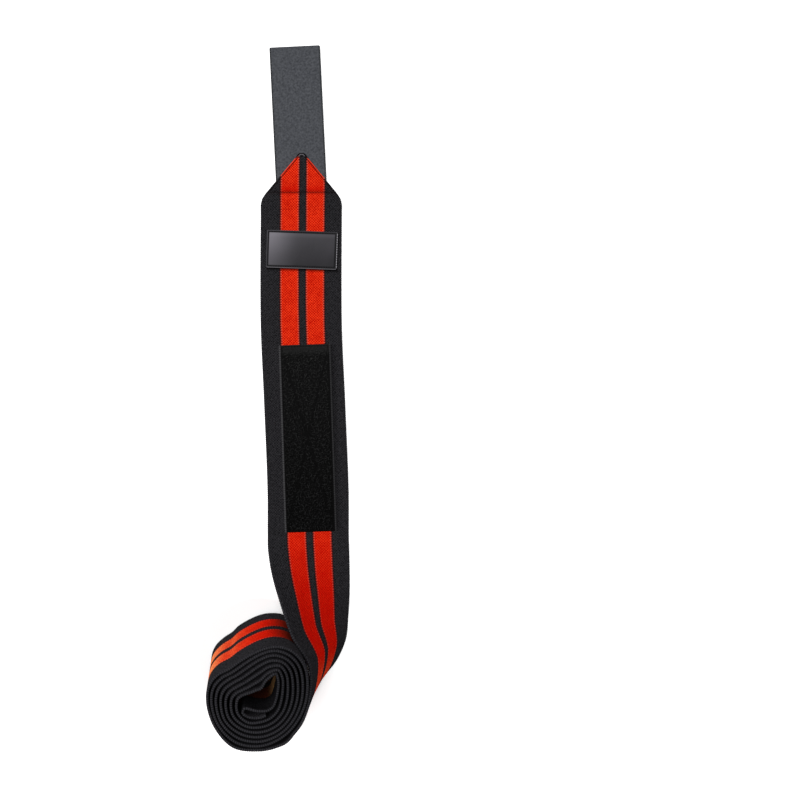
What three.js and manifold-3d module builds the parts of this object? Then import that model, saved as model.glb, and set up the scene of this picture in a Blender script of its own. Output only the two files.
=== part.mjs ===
// Knee wrap: one woven elastic band, most of it rolled up on end and the rest laid flat,
// with a hook tape strap, a loop tape patch and a rubber label patch.
// Millimetres, +Z up, +Y from the roll along the flat tail.
import * as THREE from 'three';
import { mergeVertices } from 'three/addons/utils/BufferGeometryUtils.js';
import Module from 'manifold-3d';

const wasm = await Module();
wasm.setup();

// Driving dimensions. The roll's top leans over by its lean, to the side where the tail leaves it.
const CLEARANCE = 0.3;
const BAND = { width: 80, thickness: 2.4, selvedge: 0.8, strips: 3, stepsPerKnot: 3 };
const ROLL = { turns: 7, lean: 9.4, tuckedTurns: 3 };
const STRAP = { width: 50, length: 148, thickness: 1.6, corner: 1.5, bevel: 0.3 };
const LOOP = { width: 51, length: 184, thickness: 1.6, corner: 1, bevel: 0.4 };
const LABEL = { width: 69.5, length: 37, thickness: 1.1, corner: 2, bevel: 0.3 };
const LABEL_RIM = { inset: 0.3, width: 0.9, height: 0.5 };
const LABEL_PANEL = { inset: 2.7, corner: 1, height: 0.5 };
const CORNER_STEPS = 3;

// Middles on the floor, measured from the middle of the roll's foot, and turns in degrees.
// The whole layout's middle is the part's origin.
const ORIGIN = { x: 21.75, y: 280.23 };
const STRAP_PLACE = { x: 39.2, y: 529.3, turn: 2.8 };
const LOOP_PLACE = { x: 48.5, y: 217.3, turn: 1.9 };
const LABEL_PLACE = { x: 42.7, y: 402.2, turn: -2 };

// The tail's centre line, from the pointed tip to the start of the twist
const TAIL = [
  { y: 497.3, x: 42.6 },
  { y: 475, x: 42.4 },
  { y: 452, x: 42.2 },
  { y: 436, x: 42.1 },
  { y: 330, x: 42.1 },
  { y: 255, x: 45.3 },
  { y: 166, x: 48.8 },
];

// Half the band's width at a distance back from the tip
const POINT = [
  { back: 0, half: 2 },
  { back: 1.5, half: 4 },
  { back: 4, half: 5.5 },
  { back: 40, half: 35.4 },
  { back: 45, half: 38.6 },
  { back: 51, half: 40 },
];

// Where the band climbs from the floor onto the strap
const CLIMB = { from: 436, to: 452 };

// The twist, from the flat tail to the standing roll. The foot is the edge that stays on the floor,
// heading is the plan direction from foot to crest, and the two rises are the cloth's slope at each.
const TWIST = [
  { x: 89, y: 121, heading: 180, footRise: 0, crestRise: 0 },
  { x: 89.6, y: 98, heading: 178, footRise: 0, crestRise: 24 },
  { x: 89.8, y: 67, heading: 177, footRise: 12, crestRise: 52 },
  { x: 88.4, y: 42, heading: 177, footRise: 26, crestRise: 68 },
  { x: 85.3, y: 18, heading: 168, footRise: 51, crestRise: 76 },
  { x: 73, y: -6, heading: 165, footRise: 67, crestRise: 79 },
  { x: 58.4, y: -18.7, heading: 170, footRise: 77, crestRise: 84 },
  { x: 39.1, y: -27.8, heading: 178, footRise: 87, crestRise: 91 },
  { x: 17.6, y: -39.8, heading: 190, footRise: 96, crestRise: 97 },
];

// Radius of the roll's crest at each angle on its outermost, middle and innermost turn, wound clockwise.
// The tuck is how far the outermost turn's foot stands inside its crest.
const TURNS = [
  { angle: 360, outer: 41.9, middle: 30.8, inner: 17.5, tuck: 0 },
  { angle: 330, outer: 38.9, middle: 29.1, inner: 17, tuck: 0 },
  { angle: 300, outer: 39.5, middle: 29.6, inner: 17.5, tuck: 0 },
  { angle: 270, outer: 42.6, middle: 31.4, inner: 18.8, tuck: 0 },
  { angle: 240, outer: 46, middle: 33.5, inner: 22, tuck: 0 },
  { angle: 210, outer: 45.1, middle: 35.1, inner: 22.7, tuck: 0 },
  { angle: 180, outer: 45.5, middle: 34.1, inner: 20, tuck: 0.2 },
  { angle: 165, outer: 45.4, middle: 32.2, inner: 15.8, tuck: 2 },
  { angle: 150, outer: 42.5, middle: 27.9, inner: 11.7, tuck: 3.4 },
  { angle: 135, outer: 37.6, middle: 24.9, inner: 9.9, tuck: 1.8 },
  { angle: 120, outer: 37.2, middle: 24.4, inner: 9.3, tuck: 0.4 },
  { angle: 90, outer: 42.2, middle: 29.4, inner: 9.8, tuck: 0.8 },
  { angle: 75, outer: 46.6, middle: 34.4, inner: 17, tuck: 1.5 },
  { angle: 60, outer: 48.9, middle: 36.9, inner: 25.5, tuck: 0.4 },
  { angle: 45, outer: 48, middle: 35.2, inner: 21.2, tuck: 0 },
  { angle: 30, outer: 44.9, middle: 31.3, inner: 16.8, tuck: 0 },
];
const ROLL_STARTS_AT = 270;

// The loose end inside the roll, which turns in once more and doubles back on itself
const CORE = [
  { angle: 360, radius: 12.8 },
  { angle: 330, radius: 11.8 },
  { angle: 300, radius: 10.5 },
  { angle: 270, radius: 9.5 },
  { angle: 240, radius: 10.4 },
  { angle: 220, radius: 12.2 },
  { angle: 208, radius: 15.6 },
  { angle: 216, radius: 19 },
  { angle: 230, radius: 18.3 },
  { angle: 250, radius: 16.3 },
  { angle: 270, radius: 14.8 },
  { angle: 288, radius: 13.8 },
];

const radians = THREE.MathUtils.degToRad;
const degrees = THREE.MathUtils.radToDeg;

// The height of the foot's middle that sets the lower rim of the cloth on the floor
function footHeight(rise) {
  const slope = radians(rise);
  return Math.max(0, (BAND.thickness / 2) * Math.cos(slope) - BAND.selvedge * Math.sin(slope));
}

function tailKnots() {
  return TAIL.map(({ x, y }) => ({ x: x + BAND.width / 2, y, heading: 180, footRise: 0, crestRise: 0 }));
}

// Radius on one turn, by the parabola through the outermost, middle and innermost turns
function turnRadius(row, turn) {
  const half = (ROLL.turns - 1) / 2;
  const step = (turn - 1 - half) / half;
  const slope = (row.inner - row.outer) / 2;
  const bend = (row.inner + row.outer) / 2 - row.middle;
  return row.middle + slope * step + bend * step * step;
}

// A knot of the roll, whose crest leans over from its foot
function standingKnot(angle, radius, tuck) {
  const outward = new THREE.Vector2(Math.cos(radians(angle)), Math.sin(radians(angle)));
  const foot = outward.clone().multiplyScalar(radius - tuck);
  const lean = outward.multiplyScalar(tuck).add(new THREE.Vector2(ROLL.lean, 0));
  const rise = 90 + degrees(Math.asin(lean.length() / BAND.width));
  const heading = degrees(lean.negate().angle());
  return { x: foot.x, y: foot.y, heading, footRise: rise, crestRise: rise };
}

function rollKnots() {
  const knots = [];
  for (let turn = 1; turn <= ROLL.turns; turn += 1) {
    const tucked = Math.max(0, 1 - (turn - 1) / ROLL.tuckedTurns);
    for (const row of TURNS) {
      const wound = turn > 1 || row.angle <= ROLL_STARTS_AT;
      if (wound) knots.push(standingKnot(row.angle, turnRadius(row, turn), row.tuck * tucked));
    }
  }
  for (const { angle, radius } of CORE) knots.push(standingKnot(angle, radius, 0));
  return knots;
}

// A table value between the two rows around a key
function lookUp(table, key, value, at) {
  const last = table[table.length - 1];
  if (at >= last[key]) return last[value];
  const next = table.findIndex((row) => row[key] > at);
  const [low, high] = [table[next - 1], table[next]];
  const share = (at - low[key]) / (high[key] - low[key]);
  return THREE.MathUtils.lerp(low[value], high[value], share);
}

// The band's cross sections along its whole length, from the pointed tip to the loose end in the roll
function bandStations() {
  const knots = [...tailKnots(), ...TWIST, ...rollKnots()];
  const path = new THREE.CatmullRomCurve3(knots.map(({ x, y }) => new THREE.Vector3(x, y, 0)));
  const pose = new THREE.CatmullRomCurve3(
    knots.map(({ heading, footRise, crestRise }) => new THREE.Vector3(heading, footRise, crestRise)),
  );
  const spans = knots.length - 1;
  const places = POINT.slice(0, 3).map(({ back }) => back / (TAIL[0].y - TAIL[1].y) / spans);
  for (let step = 1; step <= spans * BAND.stepsPerKnot; step += 1) {
    places.push(step / (spans * BAND.stepsPerKnot));
  }
  return places.map((place) => {
    const foot = path.getPoint(place);
    const turned = pose.getPoint(place);
    const footRise = Math.max(0, turned.y);
    const climb = THREE.MathUtils.smoothstep(foot.y, CLIMB.from, CLIMB.to);
    foot.z = footHeight(footRise) + climb * (STRAP.thickness + CLEARANCE);
    const taper = lookUp(POINT, 'back', 'half', TAIL[0].y - foot.y) / (BAND.width / 2);
    return { foot, heading: turned.x, footRise, crestRise: Math.max(0, turned.z), taper };
  });
}

// A point on the middle of the cloth: the section is an arc of fixed length from the foot to the crest
function pointAcross({ foot, heading, footRise, crestRise }, across) {
  const from = radians(footRise);
  const bend = radians(crestRise - footRise) / BAND.width;
  const to = from + bend * across;
  const straight = Math.abs(bend) < 1e-6;
  const level = straight ? Math.cos(from) * across : (Math.sin(to) - Math.sin(from)) / bend;
  const rise = straight ? Math.sin(from) * across : (Math.cos(from) - Math.cos(to)) / bend;
  const plan = new THREE.Vector3(Math.cos(radians(heading)), Math.sin(radians(heading)), 0);
  return foot.clone().addScaledVector(plan, level).add(new THREE.Vector3(0, 0, rise));
}

// The outward normal of the cloth at a station, from its neighbours along and across
function clothNormal(stations, index, across) {
  const before = pointAcross(stations[Math.max(0, index - 1)], across);
  const after = pointAcross(stations[Math.min(stations.length - 1, index + 1)], across);
  const nearFoot = pointAcross(stations[index], across - 1);
  const nearCrest = pointAcross(stations[index], across + 1);
  return nearCrest.sub(nearFoot).cross(after.sub(before)).normalize();
}

// A flat strip with rounded selvedges, bent station by station along the band's route
function bandGeometry() {
  const stations = bandStations();
  const steps = stations.length - 1;
  const strip = new THREE.BoxGeometry(BAND.width, steps, BAND.thickness, BAND.strips, steps, 2);
  strip.deleteAttribute('normal');
  strip.deleteAttribute('uv');
  const places = strip.getAttribute('position');
  const corner = BAND.width / 2 - BAND.selvedge;
  for (let index = 0; index < places.count; index += 1) {
    const number = Math.round(places.getY(index) + steps / 2);
    const station = stations[number];
    const through = places.getZ(index);
    const side = places.getX(index);
    const kept = through === 0 ? side : THREE.MathUtils.clamp(side, -corner, corner);
    const across = BAND.width / 2 + kept * station.taper;
    const point = pointAcross(station, across);
    point.addScaledVector(clothNormal(stations, number, across), through);
    places.setXYZ(index, point.x, point.y, point.z);
  }
  const closed = mergeVertices(strip, 1e-4);
  closed.computeVertexNormals();
  return closed;
}

function roundedRectangle(width, length, corner) {
  const [x, y] = [width / 2 - corner, length / 2 - corner];
  const outline = new THREE.Shape();
  outline.absarc(x, y, corner, 0, Math.PI / 2);
  outline.absarc(-x, y, corner, Math.PI / 2, Math.PI);
  outline.absarc(-x, -y, corner, Math.PI, 1.5 * Math.PI);
  outline.absarc(x, -y, corner, 1.5 * Math.PI, 2 * Math.PI);
  return outline;
}

// A flat tape with rounded corners and softened edges, resting on z = 0
function tapeGeometry({ width, length, thickness, corner, bevel }) {
  const tape = new THREE.ExtrudeGeometry(roundedRectangle(width, length, corner), {
    depth: thickness - 2 * bevel,
    bevelThickness: bevel,
    bevelSize: bevel,
    bevelOffset: -bevel,
    bevelSegments: 1,
    curveSegments: CORNER_STEPS,
  });
  return tape.translate(0, 0, bevel);
}

// A raised part of the label, sunk a little into the plate that it is joined to
function raisedGeometry(outline, height) {
  const sunk = LABEL.bevel;
  const raised = new THREE.ExtrudeGeometry(outline, {
    depth: height + sunk,
    bevelEnabled: false,
    curveSegments: CORNER_STEPS,
  });
  return raised.translate(0, 0, LABEL.thickness - sunk);
}

function labelInset({ inset, corner }) {
  return roundedRectangle(LABEL.width - 2 * inset, LABEL.length - 2 * inset, corner);
}

// The label's plate with its rim and, inside a groove, its raised panel
function labelGeometry() {
  const { inset, width, height } = LABEL_RIM;
  const rim = labelInset({ inset, corner: LABEL.corner });
  rim.holes.push(labelInset({ inset: inset + width, corner: LABEL.corner / 2 }));
  const panel = raisedGeometry(labelInset(LABEL_PANEL), LABEL_PANEL.height);
  return joined(joined(tapeGeometry(LABEL), raisedGeometry(rim, height)), panel);
}

function solid(geometry) {
  const bare = geometry.clone();
  bare.deleteAttribute('normal');
  bare.deleteAttribute('uv');
  const welded = mergeVertices(bare, 1e-4);
  return new wasm.Manifold(new wasm.Mesh({
    numProp: 3,
    vertProperties: Float32Array.from(welded.getAttribute('position').array),
    triVerts: Uint32Array.from(welded.index.array),
  }));
}

function joined(first, second) {
  const { vertProperties, triVerts } = solid(first).add(solid(second)).getMesh();
  const geometry = new THREE.BufferGeometry();
  geometry.setAttribute('position', new THREE.BufferAttribute(vertProperties, 3));
  geometry.setIndex(new THREE.BufferAttribute(triVerts, 1));
  geometry.computeVertexNormals();
  return geometry;
}

function piece(name, geometry, color, roughness) {
  const mesh = new THREE.Mesh(geometry, new THREE.MeshStandardMaterial({ color, roughness, metalness: 0 }));
  mesh.name = name;
  return mesh;
}

// Lays a flat piece at its place on the layout
function laid(mesh, { x, y, turn }, z) {
  mesh.position.set(x, y, z);
  mesh.rotation.z = radians(turn);
  return mesh;
}

const onBand = BAND.thickness + CLEARANCE;
const wrap = new THREE.Group();
wrap.add(
  piece('elastic_band', bandGeometry(), '#252428', 0.9),
  laid(piece('hook_strap', tapeGeometry(STRAP), '#4d4f53', 0.6), STRAP_PLACE, 0),
  laid(piece('loop_patch', tapeGeometry(LOOP), '#131313', 1), LOOP_PLACE, onBand),
  laid(piece('label_patch', labelGeometry(), '#3a393b', 0.5), LABEL_PLACE, onBand),
);
wrap.position.set(-ORIGIN.x, -ORIGIN.y, 0);

export default wrap;
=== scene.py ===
"""Looks of a knee wrap: knitted elastic band, hook strap, loop patch and rubber label, seen from above."""
import math
import random
from collections import namedtuple

import bmesh
import bpy
import numpy as np
from mathutils import Matrix, Vector


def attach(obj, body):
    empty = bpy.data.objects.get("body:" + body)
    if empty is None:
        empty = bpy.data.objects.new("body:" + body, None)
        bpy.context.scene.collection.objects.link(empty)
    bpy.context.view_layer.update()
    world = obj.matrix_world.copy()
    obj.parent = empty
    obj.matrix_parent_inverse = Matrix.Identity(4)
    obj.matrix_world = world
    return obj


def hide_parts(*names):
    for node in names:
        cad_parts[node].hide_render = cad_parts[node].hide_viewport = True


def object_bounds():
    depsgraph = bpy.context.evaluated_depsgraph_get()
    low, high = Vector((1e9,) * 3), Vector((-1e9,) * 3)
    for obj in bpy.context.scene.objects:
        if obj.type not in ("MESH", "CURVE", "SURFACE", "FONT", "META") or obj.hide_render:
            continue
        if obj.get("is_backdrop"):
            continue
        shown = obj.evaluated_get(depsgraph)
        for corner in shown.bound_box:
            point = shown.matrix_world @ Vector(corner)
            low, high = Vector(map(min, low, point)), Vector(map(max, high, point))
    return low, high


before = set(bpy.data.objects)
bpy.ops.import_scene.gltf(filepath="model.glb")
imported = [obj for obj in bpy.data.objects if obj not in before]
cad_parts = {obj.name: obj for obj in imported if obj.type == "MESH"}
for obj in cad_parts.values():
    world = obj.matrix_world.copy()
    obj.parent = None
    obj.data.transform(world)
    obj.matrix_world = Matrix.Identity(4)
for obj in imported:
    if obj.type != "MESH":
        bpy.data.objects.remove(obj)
cad_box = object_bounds()

# Sizes are in millimetres, apart from the stage's, and are turned into metres where a mesh is made
MM = 0.001
FLAT_LAYOUT = "flat_layout"
LAYOUT_MIDDLE = (21.75, 280.23)

# The band
BAND_WIDTH = 80.0
BAND_THICKNESS = 2.4
SELVEDGE_RADIUS = 1.0
SELVEDGE_BEAD = 0.14
SELVEDGE_BEAD_PITCH = 1.9
BEADED_HALF_WIDTH = BAND_WIDTH / 2 - 0.5
NARROWEST_FLAT = 0.3
BLUNTEST_TIP = 0.05
STATION_STEP = 0.4
SAMPLES_PER_KNOT = 40
TINY = 1e-6
WELD_REACH = 1e-4
ROLL_TURNS = 7
ROLL_LEAN = 9.4
ROLL_TUCKED_TURNS = 3
ROLL_STARTS_AT = 270

# The tapes and the label
STRAP = dict(width=50.0, length=148.0, corner=1.5, base=0.9, top=1.6)
LOOP = dict(width=51.0, length=184.0, corner=1.0, base=2.45, top=3.2)
LABEL = dict(width=69.5, length=37.0, corner=2.0, base=2.45, groove=3.55, top=4.05)
SHARPEST_CORNER = 0.5
CORNER_STEPS = 5
TAPE_RIM_SHARE = 0.4
TAPE_RIM_MARGIN = 0.3
ROUND_HALFWAY = 0.3
STRAP_PLACE = dict(x=39.2, y=529.3, turn=2.8)
LOOP_PLACE = dict(x=48.5, y=217.3, turn=1.9)
LABEL_PLACE = dict(x=42.7, y=402.2, turn=-2.0)
STRAP_LIFT = 1.9

# The tail's centre line, from the pointed tip to the start of the twist
TAIL = [
    dict(y=497.3, x=42.6),
    dict(y=475.0, x=42.4),
    dict(y=452.0, x=42.2),
    dict(y=436.0, x=42.1),
    dict(y=330.0, x=42.1),
    dict(y=255.0, x=45.3),
    dict(y=166.0, x=48.8),
]

# Half the band's width at a distance back from the tip
POINT = [
    dict(back=0.0, half=2.0),
    dict(back=1.5, half=4.0),
    dict(back=4.0, half=5.5),
    dict(back=40.0, half=35.4),
    dict(back=45.0, half=38.6),
    dict(back=51.0, half=40.0),
]

POINT_SLOPE = (POINT[3]["half"] - POINT[2]["half"]) / (POINT[3]["back"] - POINT[2]["back"])

# Where the band climbs from the floor onto the strap
CLIMB = (436.0, 452.0)

# The twist: the foot's place, the plan direction from foot to crest, and the cloth's slope at each
TWIST = [
    dict(x=89.0, y=121.0, heading=180, foot_rise=0, crest_rise=0),
    dict(x=89.6, y=98.0, heading=178, foot_rise=0, crest_rise=24),
    dict(x=89.8, y=67.0, heading=177, foot_rise=12, crest_rise=52),
    dict(x=88.4, y=42.0, heading=177, foot_rise=26, crest_rise=68),
    dict(x=85.3, y=18.0, heading=168, foot_rise=51, crest_rise=76),
    dict(x=73.0, y=-6.0, heading=165, foot_rise=67, crest_rise=79),
    dict(x=58.4, y=-18.7, heading=170, foot_rise=77, crest_rise=84),
    dict(x=39.1, y=-27.8, heading=178, foot_rise=87, crest_rise=91),
    dict(x=17.6, y=-39.8, heading=190, foot_rise=96, crest_rise=97),
]

# Radius of the roll's crest at each angle on its outermost, middle and innermost turn, wound clockwise.
# The tuck is how far the outermost turn's foot stands inside its crest.
TURNS = [
    dict(angle=360, outer=41.9, middle=30.8, inner=17.5, tuck=0.0),
    dict(angle=330, outer=38.9, middle=29.1, inner=17.0, tuck=0.0),
    dict(angle=300, outer=39.5, middle=29.6, inner=17.5, tuck=0.0),
    dict(angle=270, outer=42.6, middle=31.4, inner=18.8, tuck=0.0),
    dict(angle=240, outer=46.0, middle=33.5, inner=22.0, tuck=0.0),
    dict(angle=210, outer=45.1, middle=35.1, inner=22.7, tuck=0.0),
    dict(angle=180, outer=45.5, middle=34.1, inner=20.0, tuck=0.2),
    dict(angle=165, outer=45.4, middle=32.2, inner=15.8, tuck=2.0),
    dict(angle=150, outer=42.5, middle=27.9, inner=11.7, tuck=3.4),
    dict(angle=135, outer=37.6, middle=24.9, inner=9.9, tuck=1.8),
    dict(angle=120, outer=37.2, middle=24.4, inner=9.3, tuck=0.4),
    dict(angle=90, outer=42.2, middle=29.4, inner=9.8, tuck=0.8),
    dict(angle=75, outer=46.6, middle=34.4, inner=17.0, tuck=1.5),
    dict(angle=60, outer=48.9, middle=36.9, inner=25.5, tuck=0.4),
    dict(angle=45, outer=48.0, middle=35.2, inner=21.2, tuck=0.0),
    dict(angle=30, outer=44.9, middle=31.3, inner=16.8, tuck=0.0),
]

# The loose end inside the roll, which turns in once more and doubles back on itself
CORE = [
    dict(angle=360, radius=12.8),
    dict(angle=330, radius=11.8),
    dict(angle=300, radius=10.5),
    dict(angle=270, radius=9.5),
    dict(angle=240, radius=10.4),
    dict(angle=220, radius=12.2),
    dict(angle=208, radius=15.6),
    dict(angle=216, radius=19.0),
    dict(angle=230, radius=18.3),
    dict(angle=250, radius=16.3),
    dict(angle=270, radius=14.8),
    dict(angle=288, radius=13.8),
]

# The knit: stripes are measured across from the foot, and ribs with a painted highlight in from the edges.
# The inner face is found through the cloth, and carries painted shade.
STRIPES = [dict(start=17.3, end=35.0), dict(start=42.4, end=60.2)]
KNIT_CELL = 2.6
SELVEDGE_RIBS_AND_HIGHLIGHT = dict(starts=0.9, full=0.2)
INNER_FACE = (-1.0, -0.2)
INNER_SHADE_DEPTH = 0.96

# Borders of the stripes, measured outwards from them
BORDER_LOOP_PITCH = 2.4
BORDER_LOOPS = dict(place=-0.7, reach=1.0)
BORDER_LOOP_DEPTH = 0.9
BORDER_ENDS = (-1.7, 0.3)
BORDER_STAIN = dict(place=0.5, reach=1.5)

# Seams: backs are measured from the tip, and insets, sides and ends in from an edge
CROSS_SEAM_BACK = 39.0
CROSS_SEAM_DEPTH = 0.6
CROSS_SEAM_SPREAD = 1.4
CROSS_SEAM_END = 0.8
CROSS_SEAM_RISE = 0.1
POINT_SEAM_INSET = 1.9
POINT_SEAM_SINK = 0.05
POINT_SEAM_BACKS = dict(start=CROSS_SEAM_BACK - 1.5, stop=5.0, step=-3.0)
POINT_SEAM_ARCH = [dict(back=3.4, side=-2.4), dict(back=2.6, side=0.0), dict(back=3.4, side=2.4)]
LOOP_SEAM = dict(side=2.6, end=1.6, rise=0.12)
LABEL_SEAM = dict(side=1.7, end=1.7, rise=0.1)

# Looks of the pointed end: where it stops, the painted highlight along its folded edge, the reach of the
# dark thread and painted shade in its seams, and the deeper red of painted shade before the cross seam
POINT_STOPS = (CROSS_SEAM_BACK - 3.0, CROSS_SEAM_BACK)
POINT_FOLD_HIGHLIGHT = dict(place=0.3, reach=0.9)
POINT_SEAM_SHADE = 1.0
CROSS_SEAM_SHADE = 3.4
CROSS_SEAM_RED_SHADE = dict(place=CROSS_SEAM_BACK - 3.0, reach=6.0)

# The tip: its painted shadow outline and painted highlight ring, in from its edge, and how far back they
# reach
TIP_SHADOW_OUTLINE = dict(full=0.9, ends=1.6)
TIP_SHADOW_OUTLINE_BACK = (4.6, 6.6)
TIP_HIGHLIGHT_AREA = (1.0, 1.6)
TIP_HIGHLIGHT_AREA_BACK = (3.4, 4.4)
TIP_HIGHLIGHT_RING = dict(place=1.9, reach=0.9)

# Stitches: the share of the pitch that one fills, the pitch of each seam and its thread's radius
STITCH_FILL = 0.92
POINT_STITCH = dict(pitch=2.6, radius=0.35)
CROSS_STITCH = dict(pitch=2.6, radius=0.2)
LOOP_STITCH = dict(pitch=2.8, radius=0.3)
LABEL_STITCH = dict(pitch=2.4, radius=0.26)

# Lengths back from the tip over which the red changes: deeper over the twist, a painted sheen from where
# the roll starts, painted shade on the roll's far side and on the turns wound out of sight, and a painted
# glint of light on the wall of the hollow
TWIST_STARTS = (320.0, 450.0)
TWIST_ENDS = (470.0, 550.0)
ROLL_STARTS = (500.0, 590.0)
ROLL_FAR_SIDE = (655.0, 735.0)
OUT_OF_SIGHT = (718.0, 748.0)
HOLLOW_STARTS = (1888.0, 1900.0)
HOLLOW_TURNS = (1914.0, 1930.0)

# Shade on the band past the right and lower edges of what is sewn on it: how far and how deep
SHADE_OF_LOOP = dict(right=7.0, below=0.6, depth=0.4)
SHADE_OF_LABEL = dict(right=2.0, below=4.0, depth=0.8)
SHADE_EDGE = 1.0

# The label from the edge of its underside over its rim and groove to its raised panel
LABEL_PROFILE = [
    dict(inset=0.4, height=LABEL["base"]),
    dict(inset=0.0, height=LABEL["base"] + 0.4),
    dict(inset=0.0, height=LABEL["top"] - 0.3),
    dict(inset=0.1, height=LABEL["top"] - 0.08),
    dict(inset=0.3, height=LABEL["top"]),
    dict(inset=0.7, height=LABEL["top"]),
    dict(inset=0.9, height=LABEL["top"] - 0.1),
    dict(inset=1.0, height=LABEL["groove"]),
    dict(inset=1.2, height=LABEL["groove"]),
    dict(inset=2.2, height=LABEL["groove"]),
    dict(inset=2.4, height=LABEL["groove"]),
    dict(inset=2.5, height=LABEL["top"] - 0.12),
    dict(inset=2.8, height=LABEL["top"]),
    dict(inset=3.2, height=LABEL["top"]),
]

# Looks of the label, in from its edges: where its rim and groove end, where its rim is paler, and the reach
# of a painted highlight along the top of its panel
LABEL_RIM_ENDS = (0.5, 0.8)
LABEL_GROOVE_STARTS = (0.7, 0.9)
LABEL_GROOVE_ENDS = (2.3, 2.6)
LABEL_RIM_PALER = dict(starts=1.5, full=0.5)
LABEL_TOP_HIGHLIGHT = dict(starts=8.0, full=3.5)

# Looks of the tapes: woven edges, in from their sides, and the pitches of their weaves
TAPE_EDGE = dict(starts=2.0, full=1.2)
TAPE_RIB_PITCH = 2.2
STRAP_WEAVE = dict(across=1.5, along=1.5)
LOOP_WEAVE = dict(across=1.6, along=2.2)

# Fields of fibres on the tapes, with the lean in radians and the hook's angle in degrees
PILE = dict(width=45.0, top=86.0, bottom=-90.0, pitch=2.2, loop=1.1, fibre=0.32)
PILE_THINS_OUT = (PILE["top"] - 6.0, PILE["top"] + 3.0)
PILE_SEED = 3
PILE_BENDS = 6
PILE_LEAN = 1.2
PILE_SIZES = (0.6, 1.2)
PILE_SEAM_GAP = 1.1
HOOKS = dict(width=46.0, top=72.0, bottom=-72.0, pitch=1.9, loop=0.42, fibre=0.11)
HOOK_SEED = 5
HOOK_BENDS = 5
HOOK_ANGLE = 150
JITTER = 0.4
ROOT_DEPTH = 0.1

# The camera looks straight down on the floor
CAMERA_PLACE = dict(x=52.7, y=254.8, height=563.0)
CAMERA_SPAN = 790.0
CAMERA_SHIFT = 0.11
SENSOR = 36.0

# The stage: a floor that glows faintly from some millimetres away from the roll, a wide soft light
# overhead and one that slants in from the upper left. The floor's reach and the lights are in metres.
FLOOR_REACH = 6.0
FLOOR_GLOW = 0.45
GLOW_STARTS = (57.0, 70.0)
WORLD_LIGHT = 0.12
SOFTBOXES = [
    dict(name="overhead_softbox", place=(-0.6, 0.5, 3.0), width=3.0, depth=2.4, power=91.0),
    dict(name="side_softbox", place=(-2.9, 2.4, 2.95), width=2.4, depth=1.6, power=83.0),
]


# Camera, light and floor


def make_camera():
    """The camera of the picture, with its view shifted sideways."""
    data = bpy.data.cameras.new("camera")
    data.sensor_width = SENSOR
    data.lens = SENSOR * CAMERA_PLACE["height"] / CAMERA_SPAN
    data.shift_x = CAMERA_SHIFT
    camera = bpy.data.objects.new("camera", data)
    camera.location = on_layout(CAMERA_PLACE["x"], CAMERA_PLACE["y"], CAMERA_PLACE["height"]) * MM
    bpy.context.scene.collection.objects.link(camera)
    bpy.context.scene.camera = camera


def make_softbox(name, place, width, depth, power):
    """An elliptical soft light that faces the origin and is not seen itself."""
    data = bpy.data.lights.new(name, "AREA")
    data.shape = "ELLIPSE"
    data.size = width
    data.size_y = depth
    data.energy = power
    light = bpy.data.objects.new(name, data)
    light.location = place
    light.rotation_euler = (-Vector(place)).to_track_quat("-Z", "Y").to_euler()
    light.visible_camera = False
    bpy.context.scene.collection.objects.link(light)


def make_stage():
    """The world light, the softboxes and the floor."""
    world = bpy.data.worlds.new("studio")
    world.use_nodes = True
    world.node_tree.nodes["Background"].inputs["Color"].default_value = (1.0, 1.0, 1.0, 1.0)
    world.node_tree.nodes["Background"].inputs["Strength"].default_value = WORLD_LIGHT
    bpy.context.scene.world = world
    bpy.context.scene.view_settings.view_transform = "Standard"
    for row in SOFTBOXES:
        make_softbox(**row)
    bm = bmesh.new()
    bmesh.ops.create_grid(bm, x_segments=1, y_segments=1, size=FLOOR_REACH)
    mesh_object("floor", bm, floor_finish())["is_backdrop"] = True


# Shader arithmetic


class Signal:
    """One output of a material's nodes, so that shader maths reads as Python arithmetic."""

    def __init__(self, finish, socket):
        self.finish = finish
        self.socket = socket

    def math(self, operation, *values):
        return self.finish.node("ShaderNodeMath", {"operation": operation}, dict(enumerate(values)))

    def __add__(self, other):
        return self.math("ADD", self, other)

    __radd__ = __add__

    def __sub__(self, other):
        return self.math("SUBTRACT", self, other)

    def __rsub__(self, other):
        return self.math("SUBTRACT", other, self)

    def __mul__(self, other):
        return self.math("MULTIPLY", self, other)

    __rmul__ = __mul__

    def __abs__(self):
        return self.math("ABSOLUTE", self)

    def least(self, other):
        return self.math("MINIMUM", self, other)

    def most(self, other):
        return self.math("MAXIMUM", self, other)

    def wave(self, pitch):
        """A sine from -1 to 1 with this pitch."""
        return self.math("SINE", self * (2 * math.pi / pitch))

    def zigzag(self, pitch):
        """A triangle wave from 0 to 1 and back with this pitch."""
        return self.math("PINGPONG", self * (2 / pitch), 1.0)

    def step(self, low, high):
        """A smooth step from 0 at low to 1 at high."""
        limits = {"Value": self, "From Min": low, "From Max": high}
        return self.finish.node("ShaderNodeMapRange", {"interpolation_type": "SMOOTHSTEP"}, limits)

    def near(self, place, reach):
        """1 at a place, falling smoothly to 0 within a reach on both sides of it."""
        return 1.0 - abs(self - place).step(0.0, reach)


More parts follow.
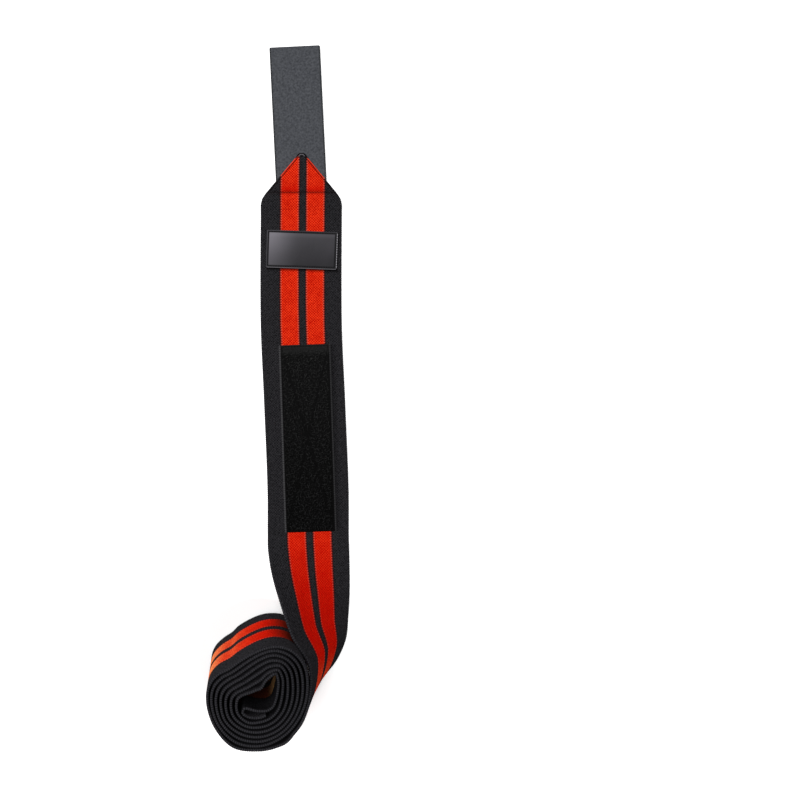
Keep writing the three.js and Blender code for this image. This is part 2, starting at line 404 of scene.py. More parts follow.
class Finish:
    """A procedural material: one Principled shader and the nodes that feed it."""

    def __init__(self, name, **constants):
        self.material = bpy.data.materials.new(name)
        self.material.use_nodes = True
        self.nodes = self.material.node_tree.nodes
        self.shader = self.nodes["Principled BSDF"]
        for socket, value in constants.items():
            self.shader.inputs[socket.replace("_", " ")].default_value = value

    def node(self, kind, settings, sockets, output=0):
        made = self.nodes.new(kind)
        for name, value in settings.items():
            setattr(made, name, value)
        for name, value in sockets.items():
            self.feed(made.inputs[name], value)
        return Signal(self, made.outputs[output])

    def feed(self, socket, value):
        if isinstance(value, Signal):
            self.material.node_tree.links.new(value.socket, socket)
        else:
            socket.default_value = value

    def mix(self, share, first, second):
        """The first colour turned into the second by a share."""
        return self.node("ShaderNodeMix", {"data_type": "RGBA"}, {0: share, 6: first, 7: second}, output=2)

    def parts(self, vector):
        """The three coordinates of a vector."""
        first = self.node("ShaderNodeSeparateXYZ", {}, {0: vector})
        return [Signal(self, socket) for socket in first.socket.node.outputs]

    def flat_place(self):
        """A piece's own flat layout in millimetres, and its coordinates across, along and through."""
        layout = self.node("ShaderNodeAttribute", {"attribute_name": FLAT_LAYOUT}, {}, output="Vector")
        return layout, *self.parts(layout)

    def noise(self, place, scale, detail=2.0):
        return self.node("ShaderNodeTexNoise", {}, {"Vector": place, "Scale": scale, "Detail": detail})

    def object_place(self):
        return self.node("ShaderNodeTexCoord", {}, {}, output="Object")

    def show(self, colour, roughness, height, distance):
        self.feed(self.shader.inputs["Base Color"], colour)
        self.feed(self.shader.inputs["Roughness"], roughness)
        sockets = {"Height": height, "Distance": distance, "Strength": 1.0}
        self.feed(self.shader.inputs["Normal"], self.node("ShaderNodeBump", {}, sockets))
        return self.material


def srgb(red, green, blue):
    """A colour as the eye sees it, from 0 to 255, as the shader's linear values."""
    shares = (value / 255 for value in (red, green, blue))
    linear = (s / 12.92 if s <= 0.04045 else ((s + 0.055) / 1.055) ** 2.4 for s in shares)
    return (*linear, 1.0)


def floor_finish():
    """A pale matt floor that glows away from the roll."""
    finish = Finish("pale_floor", Emission_Strength=FLOOR_GLOW)
    place = finish.object_place()
    span = {0: place, 1: on_layout(0.0, 0.0, 0.0) * MM}
    far = finish.node("ShaderNodeVectorMath", {"operation": "DISTANCE"}, span, output="Value")
    glow = far.step(GLOW_STARTS[0] * MM, GLOW_STARTS[1] * MM)
    glow_colour = finish.mix(glow, srgb(0, 0, 0), srgb(255, 255, 255))
    finish.feed(finish.shader.inputs["Emission Color"], glow_colour)
    grain = finish.noise(place, 40.0)
    colour = finish.mix(grain, srgb(247, 247, 247), srgb(251, 251, 251))
    return finish.show(colour, 0.9, grain, 0.0001)


def edge_share(off_middle, width, edge):
    """1 at the edge of a piece of this width and 0 inside it, by the distance off its middle."""
    return off_middle.step(width / 2 - edge["starts"], width / 2 - edge["full"])


def woven(across, along, pitches):
    """A weave from -1 to 1 with these pitches."""
    return across.wave(pitches["across"]) * along.wave(pitches["along"])


def stripe_gap(across):
    """Distance outside the nearest stripe, and below zero inside it."""
    gaps = []
    for stripe in STRIPES:
        middle = (stripe["start"] + stripe["end"]) / 2
        gaps.append(abs(across - middle) - (stripe["end"] - stripe["start"]) / 2)
    return gaps[0].least(gaps[1])


def stripe_red(finish, layout, along, pale_loops, lattice, speckle):
    """Patchy red yarn, deeper over the twist, with painted shade before the cross seam and on the roll's
    far side, and a painted orange sheen.
    """
    patches = finish.noise(layout, 0.12)
    dots = lattice * patches * 1.4 + (patches - 0.5) * 0.6
    red = finish.mix(0.42 + dots + speckle, srgb(172, 6, 3), srgb(244, 60, 26))
    # Painted shade: deeper red before the cross seam and on the far side of the roll
    shaded_far_side = along.step(*ROLL_FAR_SIDE)
    deep = along.step(*TWIST_STARTS) * (1.0 - along.step(*TWIST_ENDS)) * 0.75
    deep = deep.most(along.near(**CROSS_SEAM_RED_SHADE) * 0.6).most(shaded_far_side * 0.7)
    red = finish.mix(deep, red, srgb(184, 5, 3))
    red = finish.mix(pale_loops * (1.0 - deep * 0.7), red, srgb(208, 100, 80))
    # Painted sheen: orange where the cloth is seen at a slant, strongest over the near side of the roll and
    # gone on its far side
    slant = finish.node("ShaderNodeLayerWeight", {}, {"Blend": 0.5}, output="Facing")
    lit = 0.2 + along.step(*ROLL_STARTS) * 1.1 - shaded_far_side * 1.3
    painted_sheen = slant.step(0.6, 0.9) * (0.7 + lattice * 0.4 + speckle) * lit
    return finish.mix(painted_sheen, red, srgb(234, 134, 80))


def sewn_point(finish, colour, in_stripe, along, off_middle):
    """The pointed end: painted highlight on its folded edges, dark thread and painted shade in its seams,
    and a painted highlight ring inside a painted shadow outline at its tip.
    """
    slanted = (along - POINT[2]["back"]) * POINT_SLOPE + POINT[2]["half"] - off_middle
    inward = slanted * math.cos(math.atan(POINT_SLOPE))
    on_point = 1.0 - along.step(*POINT_STOPS)
    # Painted highlight along the folded edges
    fold_highlight = inward.near(**POINT_FOLD_HIGHLIGHT) * on_point * in_stripe
    colour = finish.mix(fold_highlight * 0.6, colour, srgb(226, 92, 70))
    edge_seam = inward.near(POINT_SEAM_INSET, POINT_SEAM_SHADE) * on_point * 0.7
    cross_seam = along.near(CROSS_SEAM_BACK, CROSS_SEAM_SHADE) * 0.36
    colour = finish.mix(edge_seam.most(cross_seam), colour, srgb(20, 3, 3))
    # Painted shadow: a dark outline round the tip
    rim = inward.least(along)
    near_edge = 1.0 - rim.step(TIP_SHADOW_OUTLINE["full"], TIP_SHADOW_OUTLINE["ends"])
    shadow_outline = near_edge * (1.0 - along.step(*TIP_SHADOW_OUTLINE_BACK))
    colour = finish.mix(shadow_outline, colour, srgb(14, 13, 15))
    # Painted highlight: a grey ring on the tip, dark around it
    bare = rim.step(*TIP_HIGHLIGHT_AREA) * (1.0 - along.step(*TIP_HIGHLIGHT_AREA_BACK))
    highlight_ring = finish.mix(rim.near(**TIP_HIGHLIGHT_RING), srgb(18, 17, 19), srgb(98, 96, 101))
    return finish.mix(bare, colour, highlight_ring)


def shaded(finish, colour, size, place, shade):
    """A colour darkened under a flat piece and a little way past its right and lower edges."""
    east, north, _ = finish.parts(finish.object_place())
    middle = on_layout(place["x"], place["y"], 0.0)
    east = east * (1 / MM) - middle.x
    north = north * (1 / MM) - middle.y
    turn = math.radians(place["turn"])
    right = east * math.cos(turn) + north * math.sin(turn)
    up = north * math.cos(turn) - east * math.sin(turn)
    side, end = size["width"] / 2, size["length"] / 2
    level = right.step(-side, SHADE_EDGE - side) * (1.0 - right.step(side, side + shade["right"]))
    upright = up.step(-end - shade["below"], -end) * (1.0 - up.step(end - SHADE_EDGE, end))
    return finish.mix(level * upright * shade["depth"], colour, srgb(4, 3, 3))


def knit_finish():
    """Black bird's-eye knit with two red stripes and pale loops along their borders, a painted highlight on
    its selvedge, painted shade on its inner face and on the turns wound out of sight, a painted glint of
    light in the hollow, and painted shade beside the loop tape and label.
    """
    finish = Finish("elastic_knit", Specular_IOR_Level=0.0)
    layout, across, along, through = finish.flat_place()
    off_middle = abs(across - BAND_WIDTH / 2)
    fuzz = finish.noise(layout, 0.7)
    speckle = (fuzz - 0.5) * 1.4
    lattice = (across + speckle).wave(KNIT_CELL) * (along - speckle).wave(KNIT_CELL)
    outside = stripe_gap(across)
    inner_face = 1.0 - through.step(*INNER_FACE)

    black = finish.mix(0.5 + lattice * 0.3 + speckle * 1.1, srgb(6, 6, 7), srgb(52, 51, 54))
    # Painted shade: the inner face is darker
    black = finish.mix(inner_face * 0.6, black, srgb(8, 8, 9))
    black = finish.mix(outside.near(**BORDER_STAIN) * 0.5, black, srgb(16, 4, 4))
    # Ribs along the selvedge, lighter than the face as a painted highlight
    ribs_and_painted_light = finish.mix(along.zigzag(SELVEDGE_BEAD_PITCH), srgb(22, 22, 24), srgb(56, 55, 59))
    black = finish.mix(edge_share(off_middle, BAND_WIDTH, SELVEDGE_RIBS_AND_HIGHLIGHT), black, ribs_and_painted_light)

    border_loops = along.zigzag(BORDER_LOOP_PITCH)
    pale_loops = outside.near(**BORDER_LOOPS) * border_loops.step(0.3, 1.0)
    red = stripe_red(finish, layout, along, pale_loops, lattice, speckle)
    # Painted shade on the inner face and on the turns wound out of sight, with a painted glint of light on
    # the wall of the hollow
    inner_shade = inner_face.most(along.step(*OUT_OF_SIGHT)) * INNER_SHADE_DEPTH
    hollow_glint = along.step(*HOLLOW_STARTS) * (1.0 - along.step(*HOLLOW_TURNS))
    red = finish.mix(inner_shade, red, finish.mix(hollow_glint, srgb(40, 25, 15), srgb(124, 100, 66)))

    in_stripe = 1.0 - (outside - border_loops * BORDER_LOOP_DEPTH).step(*BORDER_ENDS)
    colour = sewn_point(finish, finish.mix(in_stripe, black, red), in_stripe, along, off_middle)
    colour = shaded(finish, colour, LOOP, LOOP_PLACE, SHADE_OF_LOOP)
    colour = shaded(finish, colour, LABEL, LABEL_PLACE, SHADE_OF_LABEL)
    return finish.show(colour, 0.9, lattice * 0.5 + fuzz, 0.0004)


def hook_tape_finish():
    """Fine grey woven tape, darker along its edges."""
    finish = Finish("hook_tape", Specular_IOR_Level=0.06)
    layout, across, along, _ = finish.flat_place()
    weave = woven(across, along, STRAP_WEAVE)
    mottle = finish.noise(layout, 0.5, 3.0)
    shade = 0.5 + (mottle - 0.5) * 1.6 + weave * 0.2
    edge = edge_share(abs(across), STRAP["width"], TAPE_EDGE)
    colour = finish.mix(shade, srgb(47, 49, 53), srgb(87, 89, 94))
    colour = finish.mix(edge * 0.7, colour, srgb(36, 38, 39))
    return finish.show(colour, 0.6, weave * 0.5 + mottle, 0.0002)


def loop_tape_finish():
    """Black ground of the loop tape, paler at its bare ends and a little paler upwards, with a paler woven
    selvedge made lighter on the left as painted light.
    """
    finish = Finish("loop_ground", Specular_IOR_Level=0.0)
    layout, across, along, _ = finish.flat_place()
    weave = woven(across, along, LOOP_WEAVE)
    speckle = finish.noise(layout, 0.6)
    edge = edge_share(abs(across), LOOP["width"], TAPE_EDGE)
    ground = finish.mix(speckle, srgb(2, 2, 2), srgb(18, 18, 18))
    bare = (along + speckle * 4.0).step(*PILE_THINS_OUT)
    paler_upwards = along.step(PILE["bottom"], PILE["top"]) * 0.25
    pale = finish.mix(speckle, srgb(14, 14, 14), srgb(42, 42, 42))
    ground = finish.mix(bare.most(paler_upwards), ground, pale)
    # Painted light: the left rim is lighter than the right
    painted_light_left = 1.0 - across.step(-1.0, 1.0) * 0.55
    ribs_and_painted_light = (along.zigzag(TAPE_RIB_PITCH) * 0.5 + speckle * 0.7) * painted_light_left
    rim = finish.mix(ribs_and_painted_light, srgb(22, 22, 23), srgb(76, 75, 77))
    return finish.show(finish.mix(edge, ground, rim), 0.9, weave * 0.5 + speckle, 0.0003)


def yarn_finish(name, dark, light, roughness):
    """Thread or fibre that varies between two tones."""
    finish = Finish(name, Specular_IOR_Level=0.03)
    tone = finish.noise(finish.object_place(), 420.0)
    return finish.show(finish.mix(tone, dark, light), roughness, tone, 0.0001)


def pile_finish():
    """Black fibre of the loop pile, greyer towards the label."""
    finish = Finish("loop_fibre", Specular_IOR_Level=0.03)
    place = finish.object_place()
    tone = finish.noise(place, 420.0)
    _, far, _ = finish.parts(place)
    middle = (LOOP_PLACE["y"] - LAYOUT_MIDDLE[1]) * MM
    reach = LOOP["length"] / 2 * MM
    paler_upwards = far.step(middle - reach, middle + reach)
    grey = finish.mix(paler_upwards, srgb(48, 48, 49), srgb(60, 60, 60))
    return finish.show(finish.mix(tone, srgb(7, 7, 7), grey), 0.7, tone, 0.0001)


def rubber_finish():
    """Satin moulded rubber with a fine grain and a painted highlight towards its upper left and along its
    top, its rim paler and dotted on the right and paler below.
    """
    finish = Finish("label_rubber", Specular_IOR_Level=0.12)
    layout, across, along, _ = finish.flat_place()
    grain = finish.noise(layout, 1.4)
    cloud = finish.noise(layout, 0.06)
    side, end = LABEL["width"] / 2, LABEL["length"] / 2
    inward = (side - abs(across)).least(end - abs(along))
    # Painted highlight: paler towards the left, upwards and along the top edge, with a random cloud
    left_highlight = 1.0 - across.step(-side, side / 3)
    upward_highlight = along.step(-end, end)
    top_edge_highlight = edge_share(along, LABEL["length"], LABEL_TOP_HIGHLIGHT)
    pale = upward_highlight * 0.18 + left_highlight * left_highlight * (0.35 + upward_highlight * 0.47) + top_edge_highlight * 0.1 + (cloud - 0.5) * 0.15
    colour = finish.mix(pale, srgb(27, 26, 30), srgb(113, 110, 117))
    dotted_paler_right = edge_share(across, LABEL["width"], LABEL_RIM_PALER) * along.zigzag(LABEL_STITCH["pitch"])
    paler_below = edge_share(0.0 - along, LABEL["length"], LABEL_RIM_PALER) * 0.2
    rim = finish.mix(dotted_paler_right.most(paler_below), srgb(50, 49, 53), srgb(178, 176, 182))
    colour = finish.mix(1.0 - inward.step(*LABEL_RIM_ENDS), colour, rim)
    groove = inward.step(*LABEL_GROOVE_STARTS) * (1.0 - inward.step(*LABEL_GROOVE_ENDS))
    colour = finish.mix(groove, colour, srgb(24, 23, 26))
    return finish.show(colour, 0.42 + cloud * 0.16, grain, 0.00006)


# Mesh helpers


def mesh_object(name, bm, material):
    """A smooth object of one material."""
    bmesh.ops.recalc_face_normals(bm, faces=bm.faces)
    for face in bm.faces:
        face.smooth = True
    mesh = bpy.data.meshes.new(name)
    bm.to_mesh(mesh)
    bm.free()
    mesh.materials.append(material)
    made = bpy.data.objects.new(name, mesh)
    bpy.context.scene.collection.objects.link(made)
    return made


def wrap_piece(made, slot, *nodes):
    """A piece of the wrap, attached to the root, with the nodes it stands in for hidden. The slot is not
    used.
    """
    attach(made, "root")
    if nodes:
        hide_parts(*nodes)
    return made


def on_layout(x, y, z):
    """A point of the layout in the part's frame, in millimetres."""
    return Vector((x - LAYOUT_MIDDLE[0], y - LAYOUT_MIDDLE[1], z))


def placed(place):
    """The matrix that lays a flat piece, in millimetres, at its place on the layout."""
    turn = Matrix.Rotation(math.radians(place["turn"]), 4, "Z")
    return Matrix.Scale(MM, 4) @ Matrix.Translation(on_layout(place["x"], place["y"], 0.0)) @ turn


def skin(rings, flat):
    """A closed skin over rings of points, both ends filled in, that carries its flat layout."""
    rows, columns = len(rings) - 1, len(rings[0])
    bm = bmesh.new()
    bmesh.ops.create_grid(bm, x_segments=columns, y_segments=rows, size=0.5)
    layout = bm.verts.layers.float_vector.new(FLAT_LAYOUT)
    seam = []
    for vertex in bm.verts:
        column = round((vertex.co.x + 0.5) * columns)
        row = round((vertex.co.y + 0.5) * rows)
        if column in (0, columns):
            seam.append(vertex)
        vertex.co = rings[row, column % columns]
        vertex[layout] = flat[row, column % columns]
    bmesh.ops.remove_doubles(bm, verts=seam, dist=WELD_REACH)
    bmesh.ops.holes_fill(bm, edges=[edge for edge in bm.edges if edge.is_boundary], sides=0)
    return bm


def outline(width, length, corner):
    """Points round a rectangle with rounded corners."""
    points = []
    for quarter, (side, end) in enumerate([(1, 1), (-1, 1), (-1, -1), (1, -1)]):
        for angle in np.radians(90 * quarter + np.linspace(0, 90, CORNER_STEPS)):
            x = side * (width / 2 - corner) + corner * math.cos(angle)
            y = end * (length / 2 - corner) + corner * math.sin(angle)
            points.append((x, y))
    return np.array(points)


def tape_profile(base, top):
    """A tape from the edge of its underside round its softened rim to its upper face."""
    soft = (top - base) * TAPE_RIM_SHARE
    halfway = soft * ROUND_HALFWAY
    steps = [(soft + TAPE_RIM_MARGIN, 0.0), (soft, 0.0), (halfway, halfway), (0.0, soft)]
    under = [dict(inset=inset, height=base + rise) for inset, rise in steps]
    over = [dict(inset=inset, height=top - rise) for inset, rise in reversed(steps)]
    return under + over


def flat_piece(size, profile, place):
    """A flat piece laid in its place, made of rounded rectangles stacked by a profile."""
    rings = []
    for row in profile:
        corner = max(size["corner"] - row["inset"], SHARPEST_CORNER)
        ring = outline(size["width"] - 2 * row["inset"], size["length"] - 2 * row["inset"], corner)
        rings.append(np.column_stack([ring, np.full(len(ring), row["height"])]))
    stack = np.array(rings)
    bm = skin(stack, stack)
    bmesh.ops.transform(bm, matrix=placed(place), verts=bm.verts)
    return bm


def joined_copies(name, template, places, material):
    """One mesh with a copy of the template at every place."""
    bmesh.ops.triangulate(template, faces=template.faces)
    template.verts.index_update()
    points = np.array([(*vertex.co, 1.0) for vertex in template.verts])
    faces = np.array([[vertex.index for vertex in face.verts] for face in template.faces])
    template.free()
    turned = np.einsum("nij,pj->npi", np.array(places), points)[..., :3].reshape(-1, 3)
    shifts = np.arange(len(places))[:, None, None] * len(points)
    mesh = bpy.data.meshes.new(name)
    mesh.from_pydata(turned.tolist(), [], (faces + shifts).reshape(-1, 3).tolist())
    mesh.shade_smooth()
    mesh.materials.append(material)
    made = bpy.data.objects.new(name, mesh)
    bpy.context.scene.collection.objects.link(made)
    return made


# The band's route

Route = namedtuple("Route", "along foot heading foot_rise crest_rise half")


def turn_radius(row, turn):
    """Radius on one turn, by the parabola through the outermost, middle and innermost turns."""
    half = (ROLL_TURNS - 1) / 2
    step = (turn - 1 - half) / half
    slope = (row["inner"] - row["outer"]) / 2
    bend = (row["inner"] + row["outer"]) / 2 - row["middle"]
    return row["middle"] + slope * step + bend * step * step


def standing_knot(angle, radius, tuck):
    """A knot of the roll, whose crest leans over from its foot."""
    outward = np.array([math.cos(math.radians(angle)), math.sin(math.radians(angle))])
    foot = outward * (radius - tuck)
    lean = outward * tuck + (ROLL_LEAN, 0.0)
    rise = 90 + math.degrees(math.asin(np.linalg.norm(lean) / BAND_WIDTH))
    heading = math.degrees(math.atan2(-lean[1], -lean[0])) % 360
    return (*foot, heading, rise, rise)


def route_knots():
    """Foot place, heading and the two rises at every knot of the band, from the tip to the loose end."""
    knots = [(row["x"] + BAND_WIDTH / 2, row["y"], 180, 0, 0) for row in TAIL]
    knots += [tuple(row.values()) for row in TWIST]
    for turn in range(1, ROLL_TURNS + 1):
        tucked = max(0.0, 1 - (turn - 1) / ROLL_TUCKED_TURNS)
        for row in TURNS:
            if turn > 1 or row["angle"] <= ROLL_STARTS_AT:
                knots.append(standing_knot(row["angle"], turn_radius(row, turn), row["tuck"] * tucked))
    knots += [standing_knot(row["angle"], row["radius"], 0.0) for row in CORE]
    return np.array(knots, float)


def smooth_curve(knots, per_span):
    """Points on the centripetal Catmull-Rom curve through the knots."""
    ends = np.vstack([2 * knots[0] - knots[1], knots, 2 * knots[-1] - knots[-2]])
    share = np.linspace(0, 1, per_span, endpoint=False)[:, None]
    points = []
    for before, start, end, after in zip(ends, ends[1:], ends[2:], ends[3:]):
        span = math.sqrt(np.linalg.norm(end - start)) or 1.0
        lead = math.sqrt(np.linalg.norm(start - before)) or span
        trail = math.sqrt(np.linalg.norm(after - end)) or span
        enter = (start - before) / lead - (end - before) / (lead + span) + (end - start) / span
        leave = (end - start) / span - (after - start) / (span + trail) + (after - end) / trail
        points.append(
            (2 * share**3 - 3 * share**2 + 1) * start
            + (share**3 - 2 * share**2 + share) * span * enter
            + (3 * share**2 - 2 * share**3) * end
            + (share**3 - share**2) * span * leave
        )
    return np.vstack([*points, knots[-1]])


def foot_height(rise):
    """The height of the foot's edge that sets the lowest point of its round rim on the floor."""
    slope = np.radians(rise)
    reach = np.hypot(BAND_THICKNESS / 2 * np.cos(slope), SELVEDGE_RADIUS * np.sin(slope))
    return reach - SELVEDGE_RADIUS * np.sin(slope) + SELVEDGE_BEAD


def half_width(back):
    """Half the band's width at distances back from the tip."""
    return np.interp(back, [row["back"] for row in POINT], [row["half"] for row in POINT])


def band_route():
    """The band's sections at even steps along its middle."""
    knots = route_knots()
    foot = smooth_curve(knots[:, :2], SAMPLES_PER_KNOT)
    pose = smooth_curve(knots[:, 2:], SAMPLES_PER_KNOT)
    heading = pose[:, 0]
    foot_rise = np.maximum(0, pose[:, 1])
    crest_rise = np.maximum(0, pose[:, 2])
    climb = np.clip((foot[:, 1] - CLIMB[0]) / (CLIMB[1] - CLIMB[0]), 0, 1)
    lift = climb * climb * (3 - 2 * climb) * STRAP_LIFT
    foot = np.column_stack([foot, foot_height(foot_rise) + lift])
    rough = Route(None, foot, heading, foot_rise, crest_rise, None)
    middle, _ = cloth_middle(rough, np.full((len(foot), 1), BAND_WIDTH / 2))
    steps = np.linalg.norm(np.diff(middle[:, 0], axis=0), axis=1)
    length = np.concatenate([[0], np.cumsum(steps)])
    along = np.linspace(0, length[-1], round(length[-1] / STATION_STEP) + 1)

    def even(values):
        return np.interp(along, length, values)

    foot = np.column_stack([even(foot[:, axis]) for axis in range(3)])
    half = np.where(along < POINT[-1]["back"], half_width(along), BAND_WIDTH / 2)
    return Route(along, foot, even(heading), even(foot_rise), even(crest_rise), half)


def cloth_middle(route, across):
    """Points on the middle of the cloth, and its direction across, for every station and column."""
    start = np.radians(route.foot_rise)[:, None]
    bend = np.radians(route.crest_rise - route.foot_rise)[:, None] / BAND_WIDTH
    bend = np.where(np.abs(bend) < TINY, TINY, bend)
    end = start + bend * across
    level = (np.sin(end) - np.sin(start)) / bend
    rise = (np.cos(start) - np.cos(end)) / bend
    heading = np.radians(route.heading)[:, None]
    plan = np.stack([np.cos(heading), np.sin(heading)], axis=-1)
    points = np.empty((*across.shape, 3))
    points[..., :2] = route.foot[:, None, :2] + plan * level[..., None]
    points[..., 2] = route.foot[:, None, 2] + rise
    direction = np.concatenate([plan * np.cos(end)[..., None], np.sin(end)[..., None]], axis=-1)
    return points, direction


# Columns round a section, from the foot's rim over the outer face: a share of the flat width from
# -1 at the foot to 1 at the crest, and an angle round the rim
FACE_SHARES = (-1.0, -0.96, -0.33, 0.33, 0.96, 1.0)
SECTION_COLUMNS = [
    (-1.0, 180),
    (-1.0, 135),
    *[(share, 90) for share in FACE_SHARES],
    (1.0, 45),
    (1.0, 0),
    (1.0, -45),
    *[(share, -90) for share in reversed(FACE_SHARES)],
    (-1.0, -135),
]


def band_sections(route):
    """Distances across and through the cloth for every station and column."""
    shares = np.array([share for share, _ in SECTION_COLUMNS])
    angles = np.radians([angle for _, angle in SECTION_COLUMNS])
    rim = np.abs(np.cos(angles)) > TINY
    whole = (route.half > BEADED_HALF_WIDTH)[:, None]
    phase = 2 * math.pi * route.along[:, None] / SELVEDGE_BEAD_PITCH + angles
    bead = np.sin(phase) * SELVEDGE_BEAD * rim * whole
    flat_half = np.maximum(NARROWEST_FLAT, route.half - SELVEDGE_RADIUS)[:, None]
    blunt = np.clip(route.along / (BAND_THICKNESS / 2), BLUNTEST_TIP, 1)[:, None]
    rounding = np.sqrt(1 - (1 - blunt) ** 2)
    across = BAND_WIDTH / 2 + flat_half * shares + (SELVEDGE_RADIUS + bead) * np.cos(angles)
    through = (BAND_THICKNESS / 2 + bead) * np.sin(angles) * rounding
    dent = np.exp(-(((route.along - CROSS_SEAM_BACK) / CROSS_SEAM_SPREAD) ** 2)) * CROSS_SEAM_DEPTH
    through -= dent[:, None] * (np.sin(angles) > 0.5)
    return across, through


def make_band():
    """The band as one closed skin, which keeps its flat layout for the knit."""
    route = band_route()
    across, through = band_sections(route)
    middle, direction = cloth_middle(route, across)
    outward = np.cross(direction, np.gradient(middle, axis=0))
    outward /= np.linalg.norm(outward, axis=-1, keepdims=True)
    points = middle + outward * through[..., None]
    points += on_layout(0.0, 0.0, 0.0)
    along = np.broadcast_to(route.along[:, None], across.shape)
    flat = np.stack([across, along, through], axis=-1)
    bm = skin(points, flat)
    bmesh.ops.scale(bm, vec=(MM, MM, MM), verts=bm.verts)
    band = wrap_piece(mesh_object("band", bm, knit_finish()), "elastic_knit", "elastic_band")
    return band


# Stitches, pile and hooks


def stitch_shape(length, radius):
    """One stitch of thread, lying along X."""
    bm = bmesh.new()
    bmesh.ops.create_uvsphere(bm, u_segments=6, v_segments=4, radius=1.0)
    bmesh.ops.rotate(bm, matrix=Matrix.Rotation(math.pi / 2, 3, "Y"), verts=bm.verts)
    bmesh.ops.scale(bm, vec=(length / 2, radius, radius), verts=bm.verts)
    return bm


def stitch_places(line, pitch):
    """Places of the stitches along a line of points, spread evenly at about this pitch."""
    points = np.array(line, float)
    lengths = np.concatenate([[0], np.cumsum(np.linalg.norm(np.diff(points, axis=0), axis=1))])
    count = round(lengths[-1] / pitch)
    middles = (np.arange(count) + 0.5) * lengths[-1] / count
    places = []
    for middle in middles:
        ends = [
            Vector([np.interp(middle + shift, lengths, points[:, axis]) for axis in range(3)])
            for shift in (-pitch / 4, 0.0, pitch / 4)
        ]
        turn = (ends[2] - ends[0]).to_track_quat("X", "Z").to_matrix().to_4x4()
        places.append(Matrix.Translation(ends[1]) @ turn)
    return places


def sew(name, lines, frame_matrix, thread, slot, pitch, radius):
    """Rows of stitches along lines in millimetres, joined in one piece."""
    places = [frame_matrix @ place for line in lines for place in stitch_places(line, pitch)]
    made = joined_copies(name, stitch_shape(pitch * STITCH_FILL, radius), places, thread)
    return wrap_piece(made, slot)


def sew_point(thread):
    """The seam that follows the folded edges round the tip, and the seam across the band."""
    tip = TAIL[0]
    top = foot_height(0) + BAND_THICKNESS / 2 + STRAP_LIFT

    def on_point(back, side, depth):
        centre = np.interp(-(tip["y"] - back), [-row["y"] for row in TAIL], [row["x"] for row in TAIL])
        return on_layout(centre + side, tip["y"] - back, top - depth)

    inset = POINT_SEAM_INSET * math.hypot(1, POINT_SLOPE)
    left = [(back, inset - half_width(back)) for back in np.arange(**POINT_SEAM_BACKS)]
    right = [(back, -side) for back, side in reversed(left)]
    arch = [(row["back"], row["side"]) for row in POINT_SEAM_ARCH]
    edge = [on_point(back, side, POINT_SEAM_SINK) for back, side in left + arch + right]
    reach = half_width(CROSS_SEAM_BACK) - CROSS_SEAM_END
    depth = CROSS_SEAM_DEPTH - CROSS_SEAM_RISE
    across = [on_point(CROSS_SEAM_BACK, side, depth) for side in (-reach, reach)]
    millimetres = Matrix.Scale(MM, 4)
    sew("point_stitches", [edge], millimetres, thread, "elastic_knit", **POINT_STITCH)
    sew("cross_stitches", [across], millimetres, thread, "elastic_knit", **CROSS_STITCH)


def seam_reach(size, seam):
    """How far a seam lies from the middle of a flat piece, to the side and to the end."""
    return size["width"] / 2 - seam["side"], size["length"] / 2 - seam["end"]


def seam_corners(size, seam, ground):
    """The corners of a seam round a flat piece, a little over the face it is sewn in."""
    side, end = seam_reach(size, seam)
    height = ground + seam["rise"]
    return [(-side, -end, height), (side, -end, height), (side, end, height), (-side, end, height)]


def sew_loop_patch(thread):
    """A seam round the loop tape and two across it from corner to corner, sunk in the pile."""
    corners = seam_corners(LOOP, LOOP_SEAM, LOOP["top"])
    lines = [*zip(corners, corners[1:] + corners[:1]), *zip(corners[:2], corners[2:])]
    return sew("loop_stitches", lines, placed(LOOP_PLACE), thread, "loop_pile", **LOOP_STITCH)


def sew_label(thread):
    """A seam in the label's groove."""
    corners = seam_corners(LABEL, LABEL_SEAM, LABEL["groove"])
    lines = zip(corners, corners[1:] + corners[:1])
    sew("label_stitches", lines, placed(LABEL_PLACE), thread, "label_rubber", **LABEL_STITCH)


def bent_fibre(radius, fibre, turn, steps):
    """A fibre bent round Y through an angle, standing on z = 0."""
    bm = bmesh.new()
    ring = bmesh.ops.create_circle(bm, segments=3, radius=fibre)["verts"]
    bmesh.ops.translate(bm, vec=(radius, 0.0, 0.0), verts=ring)
    bmesh.ops.spin(
        bm, geom=bm.edges[:], cent=(0, 0, 0), axis=(0, -1, 0), angle=turn, steps=steps, use_merge=False
    )
    bmesh.ops.recalc_face_normals(bm, faces=bm.faces)
    return bm


def spread(field, rng):
    """Points of a jittered grid over a flat field."""
    pitch = field["pitch"]
    for x in np.arange((pitch - field["width"]) / 2, field["width"] / 2, pitch):
        for y in np.arange(field["bottom"] + pitch / 2, field["top"], pitch):
            yield x + rng.uniform(-JITTER, JITTER) * pitch, y + rng.uniform(-JITTER, JITTER) * pitch


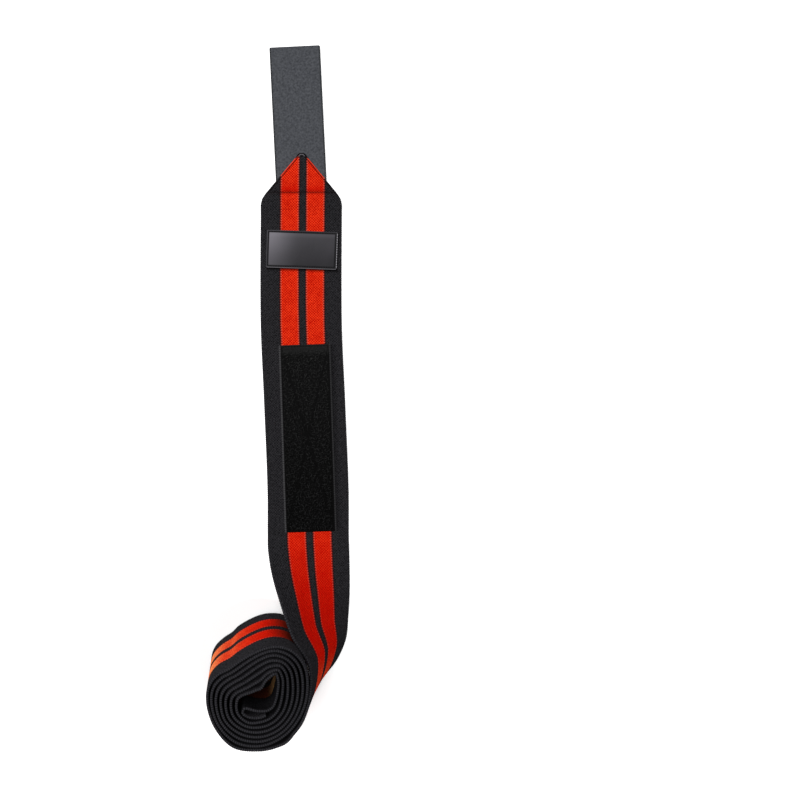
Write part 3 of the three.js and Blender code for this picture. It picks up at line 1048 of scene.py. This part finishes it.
def make_pile(fibre_finish):
    """Loops standing all over the loop tape, apart from its bare ends and the sunk seams."""
    rng = random.Random(PILE_SEED)
    side, end = seam_reach(LOOP, LOOP_SEAM)
    slope = end / side
    tape = placed(LOOP_PLACE)
    places = []
    for x, y in spread(PILE, rng):
        turn = Matrix.Rotation(rng.uniform(0, math.pi), 4, "Z")
        lean = Matrix.Rotation(rng.uniform(-PILE_LEAN, PILE_LEAN), 4, "X")
        size = Matrix.Scale(rng.uniform(*PILE_SIZES), 4)
        from_seam = abs(abs(y) - slope * abs(x)) / math.hypot(1, slope)
        if from_seam > PILE_SEAM_GAP:
            root = Matrix.Translation((x, y, LOOP["top"] - ROOT_DEPTH))
            places.append(tape @ root @ turn @ lean @ size)
    loop = bent_fibre(PILE["loop"], PILE["fibre"], math.pi, PILE_BENDS)
    return wrap_piece(joined_copies("loop_fibres", loop, places, fibre_finish), "loop_pile")


def make_hooks(fibre_finish):
    """Rows of hooks under the strap."""
    rng = random.Random(HOOK_SEED)
    root = Matrix.Translation((0, 0, STRAP["base"] + ROOT_DEPTH))
    underside = root @ Matrix.Rotation(math.pi, 4, "X")
    tape = placed(STRAP_PLACE) @ underside
    places = []
    for x, y in spread(HOOKS, rng):
        turn = Matrix.Rotation(rng.choice((0.0, math.pi)), 4, "Z")
        places.append(tape @ Matrix.Translation((x, y, 0.0)) @ turn)
    hook = bent_fibre(HOOKS["loop"], HOOKS["fibre"], math.radians(HOOK_ANGLE), HOOK_BENDS)
    return wrap_piece(joined_copies("strap_hooks", hook, places, fibre_finish), "hook_tape")


def make_label(material):
    """The rubber label: a raised rim, a sewing groove and a raised, bare panel."""
    label = mesh_object("label", flat_piece(LABEL, LABEL_PROFILE, LABEL_PLACE), material)
    wrap_piece(label, "label_rubber", "label_patch")


def make_tape(name, size, place, material, slot, node):
    """A flat tape with softened rims, laid in its place."""
    bm = flat_piece(size, tape_profile(size["base"], size["top"]), place)
    return wrap_piece(mesh_object(name, bm, material), slot, node)


make_camera()
make_stage()
band = make_band()
thread = yarn_finish("thread", srgb(8, 7, 8), srgb(22, 21, 22), 0.7)
hook_fibre = yarn_finish("hook_fibre", srgb(46, 48, 51), srgb(80, 82, 86), 0.5)
sew_point(thread)
strap = make_tape("strap", STRAP, STRAP_PLACE, hook_tape_finish(), "hook_tape", "hook_strap")
hooks = make_hooks(hook_fibre)
loop_ground = make_tape("loop_ground", LOOP, LOOP_PLACE, loop_tape_finish(), "loop_pile", "loop_patch")
loop_pieces = [make_pile(pile_finish()), sew_loop_patch(thread)]
make_label(rubber_finish())
sew_label(thread)

boxes = {"cad": cad_box, "visual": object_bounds()}
{name: [list(corner) for corner in box] for name, box in boxes.items()}
